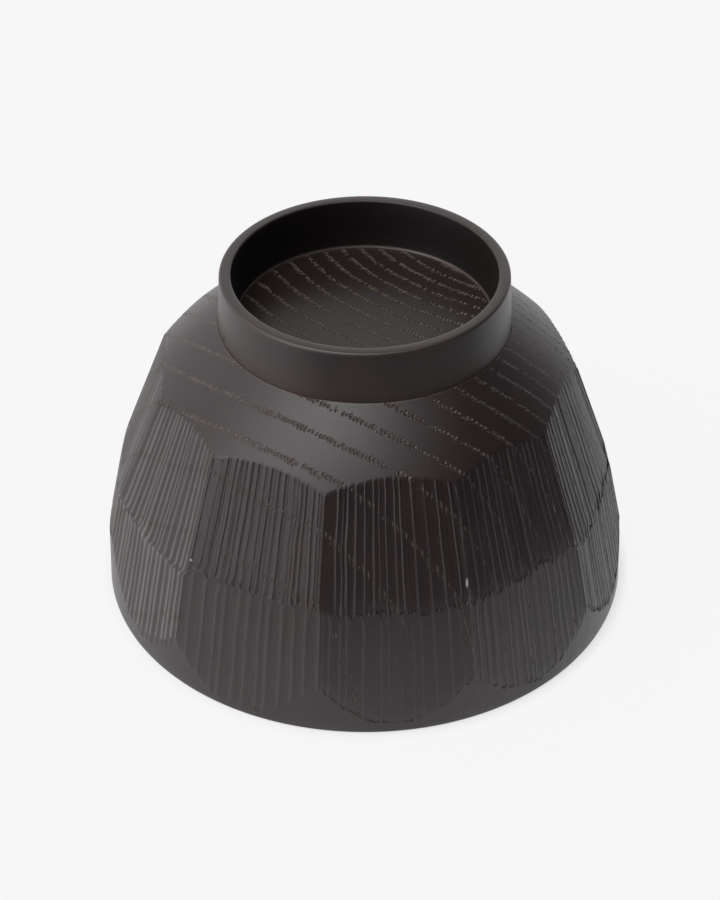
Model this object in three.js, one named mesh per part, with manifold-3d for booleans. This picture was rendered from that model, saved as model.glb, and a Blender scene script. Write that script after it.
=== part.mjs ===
// A faceted wooden soup bowl, turned over on its rim with its foot up.
// The body is turned from one block, cut to two rows of slightly crowned facets, and carries a separately
// turned foot ring that is glued into a groove round the raised bottom. Millimetres, +Z up.
// The origin is the centre of the rim, on the surface that the bowl rests on.
import * as THREE from "three";
import { mergeVertices } from "three/addons/utils/BufferGeometryUtils.js";
import Module from "manifold-3d";

const wasm = await Module();
wasm.setup();

// Overall heights above the rim
const HEIGHT = 77.3;
const FOOT_HEIGHT = 11.45;
const RECESS_DEPTH = 9.5;

// Body: the turned blank
const RIM_RADIUS = 57.5;
const WALL_TAPER_DEG = 1.9;
const SHOULDER_EDGE = 38.0;
const SHOULDER_BULGE = 1.95;
const LIP_THICKNESS = 3.0;
const LIP_OUTER_ROUND = 0.6;
const LIP_INNER_ROUND = 1.1;
const BASE_THICKNESS = 5.0;

// Inside of the bowl: how far its curve runs straight up from the lip and out from the middle
const INSIDE_LEAN_DEG = 9.2;
const INSIDE_WALL_REACH = 34.0;
const INSIDE_FLOOR_REACH = 40.0;

// Facets: two rows of slightly crowned cuts that meet in a crease
const FACET_COUNT = 11;
const FIRST_FACET_DEG = 7.1;
const CREASE_HEIGHT = 27.8;
const CREASE_INSET = 5.0;
const UPPER_LEAN_DEG = 19.2;
const LOWER_LEAN_DEG = 11.7;
const UPPER_CROWN_RADIUS = 200;
const LOWER_CROWN_RADIUS = 160;
const BLOCK_MARGIN = 1.1;

// Hand-cut variation, one row per facet: swing in degrees, upper and lower stand-out in millimetres
const HAND_CUT = [
  [0.0, -0.17, -0.14],
  [-0.1, -0.02, -0.07],
  [-0.7, -0.06, 0.06],
  [1.8, 0.04, -0.45],
  [0.6, 0.1, 0.1],
  [-0.9, -0.1, 0.15],
  [0.8, 0.15, -0.1],
  [-0.5, 0.0, 0.2],
  [2.1, 0.4, 0.68],
  [0.4, 0.0, 0.22],
  [-1.9, -0.17, -0.33],
];

// Foot ring and its groove
const FOOT_BASE_RADIUS = 30.95;
const FOOT_TAPER = 0.55;
const FOOT_WALL = 2.2;
const FOOT_TOE = 2.2;
const FOOT_OUTER_ROUND = 0.9;
const FOOT_INNER_ROUND = 0.4;
const GROOVE_DEPTH = 1.25;
const GLUE_LINE = 0.3;

// Smoothness
const BODY_SEGMENTS = 10 * FACET_COUNT;
const FOOT_SEGMENTS = 72;
const ROUND_STEPS = 3;
const COVE_STEPS = 4;
const INSIDE_STEPS = 12;
const CROWN_STEPS = 16;
const SHOULDER_STEPS = 8;

const footRadius = FOOT_BASE_RADIUS - FOOT_TAPER;
const shoulderLine = HEIGHT - FOOT_HEIGHT;
const recessFloor = HEIGHT - RECESS_DEPTH;
const grooveFloor = shoulderLine - GROOVE_DEPTH;
const insideFloor = recessFloor - BASE_THICKNESS;

const radians = THREE.MathUtils.degToRad;
const point = (r, z) => new THREE.Vector2(r, z);

// Points of an arc in the radius and height plane, both ends included
function arc(centreR, centreZ, radius, fromDeg, toDeg, steps) {
  return Array.from({ length: steps + 1 }, (_, i) => {
    const a = radians(fromDeg + ((toDeg - fromDeg) * i) / steps);
    return point(centreR + radius * Math.cos(a), centreZ + radius * Math.sin(a));
  });
}

// A profile of (radius, height) points turned about Z
function turned(profile, segments) {
  return new THREE.LatheGeometry(profile, segments).rotateX(Math.PI / 2);
}

// A closed geometry as a solid that can be cut and joined
function solid(geometry) {
  const bare = geometry.index ? geometry.toNonIndexed() : geometry.clone();
  bare.deleteAttribute("normal");
  bare.deleteAttribute("uv");
  const merged = mergeVertices(bare, 1e-4);
  const index = merged.index.array;
  const triVerts = [];
  for (let i = 0; i < index.length; i += 3) {
    const [a, b, c] = index.slice(i, i + 3);
    if (a !== b && b !== c && c !== a) triVerts.push(a, b, c);
  }
  return new wasm.Manifold(
    new wasm.Mesh({
      numProp: 3,
      vertProperties: merged.attributes.position.array,
      triVerts: new Uint32Array(triVerts),
    }),
  );
}

// A solid's surface as a three.js geometry
function surface(body) {
  const mesh = body.getMesh();
  const geometry = new THREE.BufferGeometry();
  geometry.setAttribute("position", new THREE.BufferAttribute(mesh.vertProperties, 3));
  geometry.setIndex(new THREE.BufferAttribute(mesh.triVerts, 1));
  return geometry;
}

// The shoulder's outline: a shallow arc that bulges out between the wall's top edge and the foot's base
function shoulder() {
  const edge = point(RIM_RADIUS - SHOULDER_EDGE * Math.tan(radians(WALL_TAPER_DEG)), SHOULDER_EDGE);
  const foot = point(FOOT_BASE_RADIUS, shoulderLine);
  const chord = edge.distanceTo(foot);
  const radius = (chord * chord) / (8 * SHOULDER_BULGE) + SHOULDER_BULGE / 2;
  const half = THREE.MathUtils.radToDeg(Math.asin(chord / (2 * radius)));
  const square = THREE.MathUtils.radToDeg(Math.atan2(edge.x - foot.x, foot.y - edge.y));
  const middle = edge.clone().lerp(foot, 0.5);
  const back = radius - SHOULDER_BULGE;
  const centre = middle.sub(point(back * Math.cos(radians(square)), back * Math.sin(radians(square))));
  return arc(centre.x, centre.y, radius, square - half, square + half, SHOULDER_STEPS);
}

// The turned blank, solid inside, from the rim's flat up the wall and shoulder to the recess floor
function blank() {
  const lip = arc(RIM_RADIUS - LIP_OUTER_ROUND, LIP_OUTER_ROUND, LIP_OUTER_ROUND, -90, 0, ROUND_STEPS);
  const boss = [point(FOOT_BASE_RADIUS, recessFloor), point(0, recessFloor)];
  const profile = [point(0, 0), ...lip, ...shoulder(), ...boss];
  return solid(turned(profile, BODY_SEGMENTS));
}

// The inside of the bowl, with the lip's inner edge rounded, running on below the rim
function cavity() {
  const lipRadius = RIM_RADIUS - LIP_THICKNESS;
  const below = -LIP_THICKNESS;
  const edge = arc(lipRadius + LIP_INNER_ROUND, LIP_INNER_ROUND, LIP_INNER_ROUND, 270, 180, ROUND_STEPS);
  const wallLean = Math.tan(radians(INSIDE_LEAN_DEG)) * INSIDE_WALL_REACH;
  const curve = new THREE.CubicBezierCurve(
    point(lipRadius, LIP_INNER_ROUND),
    point(lipRadius - wallLean, INSIDE_WALL_REACH),
    point(INSIDE_FLOOR_REACH, insideFloor),
    point(0, insideFloor),
  );
  const wall = curve.getPoints(INSIDE_STEPS).slice(1);
  const profile = [point(0, below), point(edge[0].x, below), ...edge, ...wall];
  return solid(turned(profile, BODY_SEGMENTS));
}

// A block that holds the whole bowl behind one facet's crowned face
function facetBlock(azimuthDeg, distance, leanDeg, crownRadius) {
  const reach = 2 * (RIM_RADIUS + HEIGHT);
  const half = Math.asin(Math.min(1, (RIM_RADIUS * BLOCK_MARGIN) / crownRadius));
  const outline = new THREE.Shape();
  outline.absarc(-crownRadius, 0, crownRadius, -half, half, false);
  outline.lineTo(-reach, crownRadius * Math.sin(half));
  outline.lineTo(-reach, -crownRadius * Math.sin(half));
  const block = new THREE.ExtrudeGeometry(outline, {
    depth: 2 * reach,
    bevelEnabled: false,
    curveSegments: CROWN_STEPS,
  });
  block.translate(0, 0, -reach);
  block.rotateY(-radians(leanDeg));
  block.translate(distance, 0, CREASE_HEIGHT);
  block.rotateZ(radians(azimuthDeg - 90));
  return solid(block);
}

// The groove that takes the foot ring's base, open upwards
function footGroove() {
  const inner = footRadius - FOOT_WALL - FOOT_TOE - GLUE_LINE;
  const outer = FOOT_BASE_RADIUS + GLUE_LINE;
  const profile = [
    point(inner, grooveFloor),
    point(outer, grooveFloor),
    point(outer, HEIGHT),
    point(inner, HEIGHT),
    point(inner, grooveFloor),
  ];
  return solid(turned(profile, BODY_SEGMENTS));
}

function bowlBody() {
  let body = blank();
  const creaseRadius = RIM_RADIUS - CREASE_INSET;
  for (let i = 0; i < FACET_COUNT; i++) {
    const [swing, upper, lower] = HAND_CUT[i % HAND_CUT.length];
    const azimuth = FIRST_FACET_DEG + (360 / FACET_COUNT) * i + swing;
    body = body.intersect(facetBlock(azimuth, creaseRadius + upper, UPPER_LEAN_DEG, UPPER_CROWN_RADIUS));
    body = body.intersect(facetBlock(azimuth, creaseRadius + lower, LOWER_LEAN_DEG, LOWER_CROWN_RADIUS));
  }
  return surface(body.subtract(cavity()).subtract(footGroove()));
}

// The foot ring: a tapered outer wall, a rounded standing edge and a cove that runs out onto the recess floor
function footRing() {
  const base = grooveFloor + GLUE_LINE;
  const inner = footRadius - FOOT_WALL;
  const toe = inner - FOOT_TOE;
  const outerTop = HEIGHT - FOOT_OUTER_ROUND;
  const profile = [
    point(toe, base),
    point(FOOT_BASE_RADIUS, base),
    point(FOOT_BASE_RADIUS, shoulderLine),
    ...arc(footRadius - FOOT_OUTER_ROUND, outerTop, FOOT_OUTER_ROUND, 0, 90, ROUND_STEPS),
    ...arc(inner + FOOT_INNER_ROUND, HEIGHT - FOOT_INNER_ROUND, FOOT_INNER_ROUND, 90, 180, ROUND_STEPS),
    ...arc(toe, recessFloor + FOOT_TOE, FOOT_TOE, 0, -90, COVE_STEPS),
    point(toe, base),
  ];
  return turned(profile, FOOT_SEGMENTS);
}

const bodyWood = new THREE.MeshStandardMaterial({ color: 0x37312f, roughness: 0.5, metalness: 0 });
const footWood = new THREE.MeshStandardMaterial({ color: 0x332b29, roughness: 0.45, metalness: 0 });

function piece(name, geometry, material) {
  const mesh = new THREE.Mesh(geometry, material);
  mesh.name = name;
  return mesh;
}

const bowl = new THREE.Group();
bowl.add(piece("bowl_body", bowlBody(), bodyWood));
bowl.add(piece("foot_ring", footRing(), footWood));

export default bowl;
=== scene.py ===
"""A faceted wooden bowl turned over on its rim, with its glued foot ring up, on a pale studio floor.

The body carries two rows of hand-cut facets with narrow gouge flutes and the open pores of a ring-porous
wood. Sizes are in millimetres until a mesh is written, and the finished pieces are in metres.
"""
import logging
import math
from dataclasses import dataclass, field
from enum import Enum
from typing import Any, Callable, Optional, Sequence, Union

import bpy
import numpy as np
from mathutils import Matrix, Vector


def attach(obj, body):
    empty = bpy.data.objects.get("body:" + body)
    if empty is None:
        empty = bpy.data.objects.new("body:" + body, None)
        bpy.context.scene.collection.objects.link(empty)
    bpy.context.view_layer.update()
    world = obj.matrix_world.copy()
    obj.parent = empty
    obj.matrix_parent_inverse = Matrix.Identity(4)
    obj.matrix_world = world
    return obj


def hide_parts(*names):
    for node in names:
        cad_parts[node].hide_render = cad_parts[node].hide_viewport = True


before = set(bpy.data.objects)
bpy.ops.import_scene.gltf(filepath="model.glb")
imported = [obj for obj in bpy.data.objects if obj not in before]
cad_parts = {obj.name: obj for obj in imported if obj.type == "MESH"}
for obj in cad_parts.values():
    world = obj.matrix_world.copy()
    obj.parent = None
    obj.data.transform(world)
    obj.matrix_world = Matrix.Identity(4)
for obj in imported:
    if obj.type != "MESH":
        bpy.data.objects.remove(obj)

LOG = logging.getLogger("bowl")
MM = 0.001
MERGE_WITHIN = 2e-6
SAME_LEVEL = 1e-6
HALVINGS = 40
BODY = "root"
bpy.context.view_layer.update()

Array = np.ndarray
Number = Union[int, float]
Span = tuple[float, float]
Place = tuple[float, float, float]
Colour = tuple[float, float, float, float]
Profile = list[tuple[float, float]]


class Row(Enum):
    """The two rows of facets, named by where they sit on the overturned bowl."""

    UPPER = "upper"
    LOWER = "lower"


# Mesh helpers


def deselect_all() -> None:
    """Leaves edit mode and selects nothing."""
    if bpy.context.object and bpy.context.object.mode != "OBJECT":
        bpy.ops.object.mode_set(mode="OBJECT")
    bpy.ops.object.select_all(action="DESELECT")


def only(obj: bpy.types.Object) -> None:
    """Makes one object the only selected and the active one.

    Args:
        obj: The object to work on.
    """
    deselect_all()
    obj.select_set(True)
    bpy.context.view_layer.objects.active = obj


def corners(mesh: bpy.types.Mesh) -> Array:
    """Reads the vertex places of a mesh.

    Args:
        mesh: The mesh to read.

    Returns:
        One row of x, y, z for each vertex.
    """
    flat = np.empty(len(mesh.vertices) * 3)
    mesh.vertices.foreach_get("co", flat)
    return flat.reshape(-1, 3)


def wrapped_grid(name: str, points: Array) -> tuple[bpy.types.Object, Array, Array]:
    """Wraps a grid primitive round the bowl's axis.

    Args:
        name: The new object's name.
        points: Places in millimetres, by row, column and axis. The last column repeats the first.

    Returns:
        The new object, with its seam still open, and the row and the column of each vertex.
    """
    rows, columns, _ = points.shape
    deselect_all()
    bpy.ops.mesh.primitive_grid_add(x_subdivisions=columns - 1, y_subdivisions=rows - 1, size=2)
    obj = bpy.context.object
    obj.name = name
    flat = corners(obj.data)
    column = np.rint((flat[:, 0] + 1) / 2 * (columns - 1)).astype(int)
    row = np.rint((flat[:, 1] + 1) / 2 * (rows - 1)).astype(int)
    obj.data.vertices.foreach_set("co", (points[row, column] * MM).ravel())
    obj.data.update()
    return obj, row, column


def spun(name: str, profile: Profile, steps: int, closed: bool) -> bpy.types.Object:
    """Spins a drawn profile round the bowl's axis.

    Args:
        name: The new object's name.
        profile: Radius and height of each point, in millimetres.
        steps: How many steps the spin has.
        closed: Whether the profile's last point joins its first.

    Returns:
        The spun object, merged and with its faces outwards.
    """
    deselect_all()
    bpy.ops.mesh.primitive_circle_add(vertices=len(profile), radius=1, fill_type="NOTHING")
    obj = bpy.context.object
    obj.name = name
    mesh = obj.data
    drawn = np.array([(r, 0.0, z) for r, z in profile]) * MM
    mesh.vertices.foreach_set("co", drawn.ravel())
    ends = {0, len(profile) - 1}
    for vertex in mesh.vertices:
        vertex.select = vertex.index in ends
    for edge in mesh.edges:
        edge.select = set(edge.vertices) == ends
    bpy.ops.object.mode_set(mode="EDIT")
    if not closed:
        bpy.ops.mesh.delete(type="EDGE")
    bpy.ops.mesh.select_all(action="SELECT")
    bpy.ops.mesh.spin(steps=steps, angle=math.tau, center=(0, 0, 0), axis=(0, 0, 1))
    close_up()
    return obj


def close_up() -> None:
    """Merges doubles over the active mesh and turns its faces outwards."""
    bpy.ops.object.mode_set(mode="EDIT")
    bpy.ops.mesh.select_all(action="SELECT")
    bpy.ops.mesh.remove_doubles(threshold=MERGE_WITHIN)
    bpy.ops.mesh.normals_make_consistent(inside=False)
    bpy.ops.object.mode_set(mode="OBJECT")


def fill_between_rims(obj: bpy.types.Object, height: float) -> None:
    """Fills the flat between the two open rims that lie at one height.

    Args:
        obj: The object with the open rims.
        height: The rims' height in millimetres.
    """
    only(obj)
    mesh = obj.data
    loops = np.empty(len(mesh.loops), dtype=int)
    mesh.loops.foreach_get("edge_index", loops)
    ends = np.empty(len(mesh.edges) * 2, dtype=int)
    mesh.edges.foreach_get("vertices", ends)
    level = np.abs(corners(mesh)[:, 2] - height * MM) < SAME_LEVEL
    ends = ends.reshape(-1, 2)
    rim = (np.bincount(loops, minlength=len(ends)) == 1) & level[ends].all(axis=1)
    for kind in (mesh.vertices, mesh.polygons):
        kind.foreach_set("select", np.zeros(len(kind), dtype=bool))
    mesh.edges.foreach_set("select", rim)
    bpy.ops.object.mode_set(mode="EDIT")
    bpy.ops.mesh.select_mode(type="EDGE")
    bpy.ops.mesh.fill(use_beauty=True)
    bpy.ops.object.mode_set(mode="OBJECT")


def arc(centre: Span, radius: float, start: float, end: float, steps: int) -> Array:
    """Points of an arc in the radius and height plane.

    Args:
        centre: The arc's centre.
        radius: The arc's radius.
        start: The first point's angle in degrees.
        end: The last point's angle in degrees.
        steps: How many steps lie between them.

    Returns:
        One row of radius and height for each point, both ends included.
    """
    turn = np.radians(np.linspace(start, end, steps + 1))
    return np.stack([centre[0] + radius * np.cos(turn), centre[1] + radius * np.sin(turn)], axis=1)


def smooth(low: float, high: float, value: Array) -> Array:
    """Rises smoothly from 0 at low to 1 at high."""
    t = np.clip((value - low) / (high - low), 0, 1)
    return t * t * (3 - 2 * t)


def bisected(low: Array, high: Array, above: Callable[[Array], Array]) -> Array:
    """Finds where a condition turns true between two limits, for many columns at once.

    Args:
        low: Lower limits, where the condition doesn't hold.
        high: Upper limits, where it holds.
        above: Takes an array of values and tells where the condition holds.

    Returns:
        The values at which it turns.
    """
    low, high = low.astype(float).copy(), high.astype(float).copy()
    for _ in range(HALVINGS):
        middle = (low + high) / 2
        holds = above(middle)
        high = np.where(holds, middle, high)
        low = np.where(holds, low, middle)
    return (low + high) / 2


# The bowl's body


@dataclass(frozen=True)
class Flutes:
    """How one row of facets is fluted: widths in mesh columns, depths in millimetres.

    Facets are named by their numbers. Front gives the widths on facet 0, gouge how many times deeper than
    usual each facet is cut, and the next table how much paler the ridges of some facets are painted: a
    painted highlight on the facets that face the light. Coarse facets have wider flutes, hollow ones have
    scooped flutes, and on faded ones the flutes run out at the crease without a ledge. Weak ridges are lower
    than the others, and the tooth is the fine streaks inside a flute.
    """

    narrowest: int
    widest: int
    shallowest: float
    deepest: float
    seed: int
    front: tuple[int, ...]
    gouge: tuple[float, ...]
    lightened: dict[int, float]
    hollow: tuple[int, ...]
    faded: tuple[int, ...]
    plunge: float
    ledge: float
    coarse: tuple[int, ...] = ()
    coarser: float = 1.5
    tooth: float = 0.028
    tilt: float = 0.12
    brink: Span = (0.82, 0.96)
    scoop: float = 0.8
    scoop_power: float = 2.2
    scoop_tooth: float = 0.25
    weak_chance: float = 0.12
    weak_depth: float = 0.55
    weak_wear: float = 0.35
    weak_highlight: float = 0.5
    blunt: float = 0.15
    highlight_peak: float = 1.1
    highlight_fall: float = 0.6
    arch_power: int = 4
    plunge_range: Span = (0.15, 1.0)
    ledge_range: Span = (0.1, 1.0)

    def comb(self, rng: np.random.Generator, columns: int, wider: float) -> list[int]:
        """Draws the widths of one facet's flutes.

        Args:
            rng: The seeded generator.
            columns: The facet's width in columns.
            wider: How many times wider than usual this facet's flutes are.

        Returns:
            Flute widths that add up to the facet's width.
        """
        narrowest, widest = int(self.narrowest * wider), int(self.widest * wider)
        widths: list[int] = []
        left = columns
        while left > widest + narrowest:
            width = int(rng.integers(narrowest, widest + 1))
            widths.append(width)
            left -= width
        if left > widest:
            widths.append(left // 2)
            left -= left // 2
        widths.append(left)
        return widths

    def depths(self, facets: int, columns: int) -> tuple[Array, ...]:
        """Works out the flute depth and the ridge wear of every column.

        Args:
            facets: How many facets the row has.
            columns: How many mesh columns each facet has.

        Returns:
            Depth at the row's lower and upper ends in millimetres, a ridge mask, how much deeper the gouge
            went in where it started, the ledge that it left where it stopped, and how much paler the ridges
            between hollow flutes are painted as a highlight, for each column.
        """
        rng = np.random.default_rng(self.seed)
        stops = np.random.default_rng(self.seed + 1)
        ends = np.zeros((2, facets * columns))
        ridge = np.zeros(facets * columns)
        entry = np.zeros(facets * columns)
        notch = np.zeros(facets * columns)
        ridge_highlight = np.zeros(facets * columns)
        for facet in range(facets):
            start = facet * columns
            drawn = self.comb(rng, columns, self.coarser if facet in self.coarse else 1.0)
            widths = drawn if facet else list(self.front)
            floors = rng.uniform(self.shallowest, self.deepest, (2, len(widths)))
            floors *= self.gouge[facet]
            tilts = rng.uniform(-self.tilt, self.tilt, len(widths))
            for i, width in enumerate(widths):
                place = np.arange(width)
                across = 2 * place / width - 1
                beside = np.minimum(place, width - place)
                land = 1 + tilts[i] * across
                land = land * np.where(beside == 1, self.brink[0], np.where(beside == 2, self.brink[1], 1.0))
                streaks = rng.normal(0, self.tooth, width)
                if facet in self.hollow:
                    land = land * (1 - self.scoop * np.abs(across) ** self.scoop_power)
                    streaks *= self.scoop_tooth
                here = slice(start, start + width)
                ends[:, here] = np.maximum(floors[:, i : i + 1] * land + streaks, 0)
                weak = rng.random() < self.weak_chance
                left = self.weak_depth if weak else rng.uniform(0.0, self.blunt)
                before = floors[:, i - 1] if i else np.zeros(2)
                ends[:, start] = np.minimum(floors[:, i], before) * left
                ridge[start] = self.weak_wear if weak else 1.0
                # Painted highlight: the ridges of the facets that face the light are painted paler.
                pale = self.lightened.get(facet, 0.0) * (self.weak_highlight if weak else 1.0)
                ridge_highlight[here] = np.clip(self.highlight_peak - self.highlight_fall * beside, 0, 1) * pale
                arch = 1 - across**self.arch_power
                entry[here] = rng.uniform(*self.plunge_range) * self.plunge * arch
                ledge = 0.0 if facet in self.faded else self.ledge
                notch[here] = stops.uniform(*self.ledge_range) * ledge * arch
                start += width
        return ends[0], ends[1], ridge, entry, notch, ridge_highlight


@dataclass
class CarvedBody:
    """The bowl's turned and carved body, mouth down, in millimetres and degrees.

    Shares of rows run from the lower to the upper end of a stretch, and a span is where something starts and
    ends. The bead's points lie out from the seam and up from the shoulder.
    """

    rim_radius: float = 57.5
    wall_taper: float = math.tan(math.radians(1.9))
    shoulder_edge: float = 38.0
    shoulder_bulge: float = 1.95
    shoulder_line: float = 65.85
    foot_base_radius: float = 30.95
    lip_thickness: float = 3.0
    lip_outer_round: float = 0.7
    lip_inner_round: float = 1.1
    recess_floor: float = 66.0
    boss_radius: float = 26.79
    groove_floor: float = 64.6
    seam_radius: float = 30.97
    inside_floor: float = 62.8
    inside_lean: float = math.tan(math.radians(9.2))
    inside_wall_reach: float = 34.0
    inside_floor_reach: float = 40.0
    facet_count: int = 11
    first_facet: float = 7.1
    crease_height: float = 27.8
    crease_radius: float = 52.5
    leans: dict[Row, float] = field(default_factory=lambda: {Row.UPPER: 18.9, Row.LOWER: 11.7})
    steeper: dict[tuple[Row, int], float] = field(default_factory=lambda: {(Row.UPPER, 8): 2.1})
    crowns: dict[Row, float] = field(default_factory=lambda: {Row.UPPER: 200.0, Row.LOWER: 160.0})
    swings: tuple[float, ...] = (0.0, -0.1, -0.7, 1.8, 0.6, -0.9, 0.8, -0.5, 2.1, 0.4, -1.9)
    stand_outs: dict[Row, tuple[float, ...]] = field(
        default_factory=lambda: {
            Row.UPPER: (-0.02, 0.08, -0.06, 0.04, 0.1, -0.1, 0.15, 0.0, 1.1, 0.08, -0.07),
            Row.LOWER: (-0.14, -0.07, 0.06, -0.45, 0.1, 0.15, -0.1, 0.2, 1.45, 0.22, -0.33),
        }
    )
    flutes: dict[Row, Flutes] = field(
        default_factory=lambda: {
            Row.UPPER: Flutes(
                narrowest=5,
                widest=9,
                shallowest=0.07,
                deepest=0.16,
                seed=31,
                front=(12, 5, 4, 7, 8, 8, 11, 8, 5, 11, 12, 11, 12, 6),
                gouge=(1.8, 1.5, 1.3, 1.2, 1.0, 1.3, 1.1, 1.3, 1.8, 2.5, 1.1),
                hollow=(8, 9),
                faded=(8, 9),
                # Painted highlight on the ridges of facets 8 and 9, which face the light.
                lightened={8: 0.3, 9: 1.0},
                plunge=0.06,
                ledge=0.15,
            ),
            Row.LOWER: Flutes(
                narrowest=5,
                widest=8,
                shallowest=0.05,
                deepest=0.11,
                seed=47,
                front=(3, 5, 8, 5, 13, 14, 6, 10, 10, 6, 10, 13, 9, 8),
                coarse=(5, 10),
                hollow=(5, 8, 9, 10),
                faded=(5, 9, 10),
                # Painted highlight on the ridges of facets 8, 9 and 10, which face the light.
                lightened={8: 0.5, 9: 1.0, 10: 0.12},
                gouge=(1.6, 1.8, 1.8, 1.4, 1.5, 1.7, 1.8, 1.5, 2.0, 3.0, 1.8),
                plunge=0.12,
                ledge=0.16,
            ),
        }
    )
    crease_share: float = 1.35
    faded_share: float = 0.35
    crease_fade: float = 2.2
    plunge_run: dict[Row, float] = field(default_factory=lambda: {Row.UPPER: 3.0, Row.LOWER: 2.0})
    ledge_run: dict[Row, Span] = field(
        default_factory=lambda: {Row.UPPER: (0.3, 2.4), Row.LOWER: (0.3, 1.8)}
    )
    ledge_gap: float = 0.02
    facet_foot_span: Span = (0.7, 22.0)
    crease_span: Span = (14.0, 40.0)
    facet_top_span: Span = (41.0, 64.0)
    facet_swing: float = 60.0
    lip_steps: int = 4
    band_rows: tuple[float, ...] = (0.3, 0.6, 0.85, 0.96, 1.0)
    lower_rows: tuple[float, ...] = (0.01, 0.02, 0.0325, 0.05, *np.linspace(0.09, 0.95, 12), 0.985, 1.0)
    upper_rows: tuple[float, ...] = (0.009, 0.02, 0.045, *np.linspace(0.09, 0.93, 15), 0.965, 0.985, 1.0)
    shoulder_rows: tuple[float, ...] = (0.02, 0.06, 0.14, 0.26, 0.4, 0.55, 0.7, 0.84, 0.94, 1.0)
    bead: tuple[Span, ...] = ((0.5, 0.0), (0.25, 0.2), (0.06, 0.31), (0.0, 0.26))
    inside_lip_steps: int = 5
    inside_steps: int = 24
    boss_edge: Span = (1.2, 0.04)
    recess_rings: tuple[float, ...] = (0.998, 0.85, 0.6, 0.35, 0.0)
    lower_wear: float = 0.6
    facet_mark: float = 0.45
    mark_gap: float = 0.05
    ridge_levels: tuple[float, float, int] = (2.0, 60.0, 30)
    crease_turn: float = 1.2
    wander_seed: int = 5
    wander_size: float = 0.12
    wander_waves: int = 12
    wander_knots: int = 12
    wander_top: float = 66.0
    wander_ends: Span = (4.0, 3.0)
    columns: int = 120
    turned_steps: int = 132
    crisp_from: float = 30.0

    def __post_init__(self) -> None:
        """Works out the shoulder's arc and the flutes."""
        edge = np.array([self.rim_radius - self.shoulder_edge * self.wall_taper, self.shoulder_edge])
        foot = np.array([self.foot_base_radius, self.shoulder_line])
        chord = float(np.linalg.norm(edge - foot))
        self.arc_radius = chord**2 / (8 * self.shoulder_bulge) + self.shoulder_bulge / 2
        square = math.atan2(edge[0] - foot[0], foot[1] - edge[1])
        back = self.arc_radius - self.shoulder_bulge
        self.arc_centre = (edge + foot) / 2 - back * np.array([math.cos(square), math.sin(square)])
        drawn = {row: self.flutes[row].depths(self.facet_count, self.columns) for row in Row}
        self.low, self.high, self.ridge, self.entry, self.notch, self.ridge_highlight = (
            {row: drawn[row][kind] for row in Row} for kind in range(6)
        )

    def azimuths(self) -> Array:
        """The azimuth of each facet's middle, in degrees from the front towards the right."""
        return self.first_facet + 360 / self.facet_count * np.arange(self.facet_count) + np.array(self.swings)

    def blank(self, z: Array) -> Array:
        """The turned blank's radius.

        Args:
            z: Heights in millimetres.

        Returns:
            The radius at each height.
        """
        wall = self.rim_radius - z * self.wall_taper
        inner = self.arc_radius**2 - (z - self.arc_centre[1]) ** 2
        shoulder = self.arc_centre[0] + np.sqrt(np.maximum(inner, 0))
        return np.where(z < self.shoulder_edge, wall, shoulder)

    def lean_of(self, row: Row) -> Array:
        """The lean of each facet in a row, in radians.

        Args:
            row: Which row the facets are in.

        Returns:
            One lean for each facet.
        """
        found = np.full(self.facet_count, self.leans[row])
        for (where, facet), extra in self.steeper.items():
            if where is row:
                found[facet] += extra
        return np.radians(found)

    def facet(self, row: Row, index: Array, azimuth: Array, z: Array, cut: Union[Array, float]) -> Array:
        """The radius of one facet's crowned face.

        Args:
            row: Which row the facets are in.
            index: Facet numbers.
            azimuth: Azimuths in degrees.
            z: Heights in millimetres.
            cut: How far the flutes go below the face.

        Returns:
            The face's radius at each place.
        """
        index = index % self.facet_count
        lean = self.lean_of(row)[index]
        reach = self.crease_radius + np.array(self.stand_outs[row])[index] - cut
        distance = reach - np.tan(lean) * (z - self.crease_height)
        off = (azimuth - self.azimuths()[index] + 180) % 360 - 180
        turn = np.radians(np.clip(off, -self.facet_swing, self.facet_swing))
        bend = np.sin(turn) ** 2 / (2 * self.crowns[row] * np.cos(lean))
        straight = np.cos(turn)
        return 2 * distance / (straight + np.sqrt(np.maximum(straight**2 + 4 * bend * distance, 0)))

    def ridges(self, row: Row, z: Array) -> Array:
        """Where neighbouring facets of a row meet.

        Args:
            row: Which row the facets are in.
            z: Heights in millimetres.

        Returns:
            Azimuths in degrees by height and ridge. Ridge k lies before facet k, and the last one is a
            whole turn after the first.
        """
        index = np.arange(self.facet_count)
        after = np.broadcast_to(self.azimuths(), (len(z), self.facet_count))
        before = after - (np.roll(self.azimuths(), -1) - self.azimuths() + 360)[index - 1] % 360
        level = z[:, None]

        def past(azimuth: Array) -> Array:
            """Tells where the later facet is the nearer one."""
            early = self.facet(row, index - 1, azimuth, level, 0.0)
            late = self.facet(row, index, azimuth, level, 0.0)
            return late < early

        met = bisected(before, after, past)
        return np.concatenate([met, met[:, :1] + 360], axis=1)

    def spread(self, edges: Array) -> Array:
        """Spreads the mesh columns evenly between ridges.

        Args:
            edges: Ridge azimuths by height and ridge.

        Returns:
            Azimuths in degrees by height and column, without the last, repeated column.
        """
        share = np.arange(self.columns) / self.columns
        width = np.diff(edges, axis=1)
        return (edges[:, :-1, None] + width[:, :, None] * share).reshape(len(edges), -1)

    def radius(self, index: Array, azimuth: Array, z: Array, cuts: dict[Row, Array]) -> Array:
        """The body's outer radius.

        Args:
            index: The facet number of each column.
            azimuth: Azimuths in degrees.
            z: Heights in millimetres.
            cuts: Flute depths for each row of facets.

        Returns:
            The smallest radius that the blank, the facets and the flutes leave.
        """
        least = self.blank(z)
        for row in Row:
            least = np.minimum(least, self.facet(row, index, azimuth, z, cuts[row]))
            for side in (-1, 1):
                least = np.minimum(least, self.facet(row, index + side, azimuth, z, 0.0))
        return least

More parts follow.
